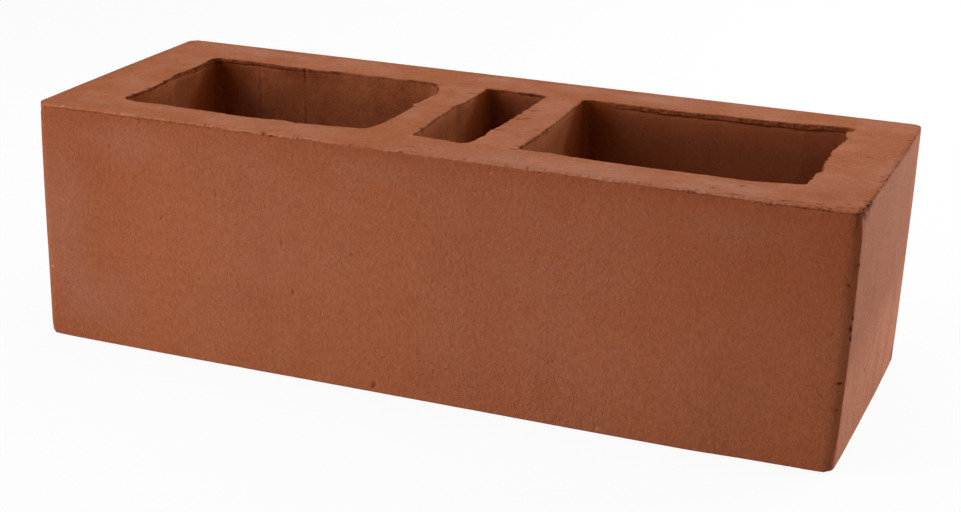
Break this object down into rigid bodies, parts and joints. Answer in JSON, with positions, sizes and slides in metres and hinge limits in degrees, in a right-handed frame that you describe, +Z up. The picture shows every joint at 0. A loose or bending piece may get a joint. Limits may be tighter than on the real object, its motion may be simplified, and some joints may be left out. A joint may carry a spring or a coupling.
{
  "type": "hollow clay brick",
  "caption": "Long fired-clay brick with two large rectangular cells and a narrow slot between them, open from bed face to bed face, with rounded upright edges.",
  "frame": {"origin": "middle of the lower bed face, on the surface that the brick lies on", "axes": "+X along the length towards the thinner end wall, +Y across the width towards the back, +Z up along the openings"},
  "size_m": [0.3, 0.115, 0.09],
  "materials": {
    "fired_clay": "unglazed, dull orange-brown terracotta; leathery extruded sides, dragged and slightly torn wire-cut bed faces"
  },
  "bodies": {
    "root": {"brick": "fired_clay"}
  },
  "joints": []
}
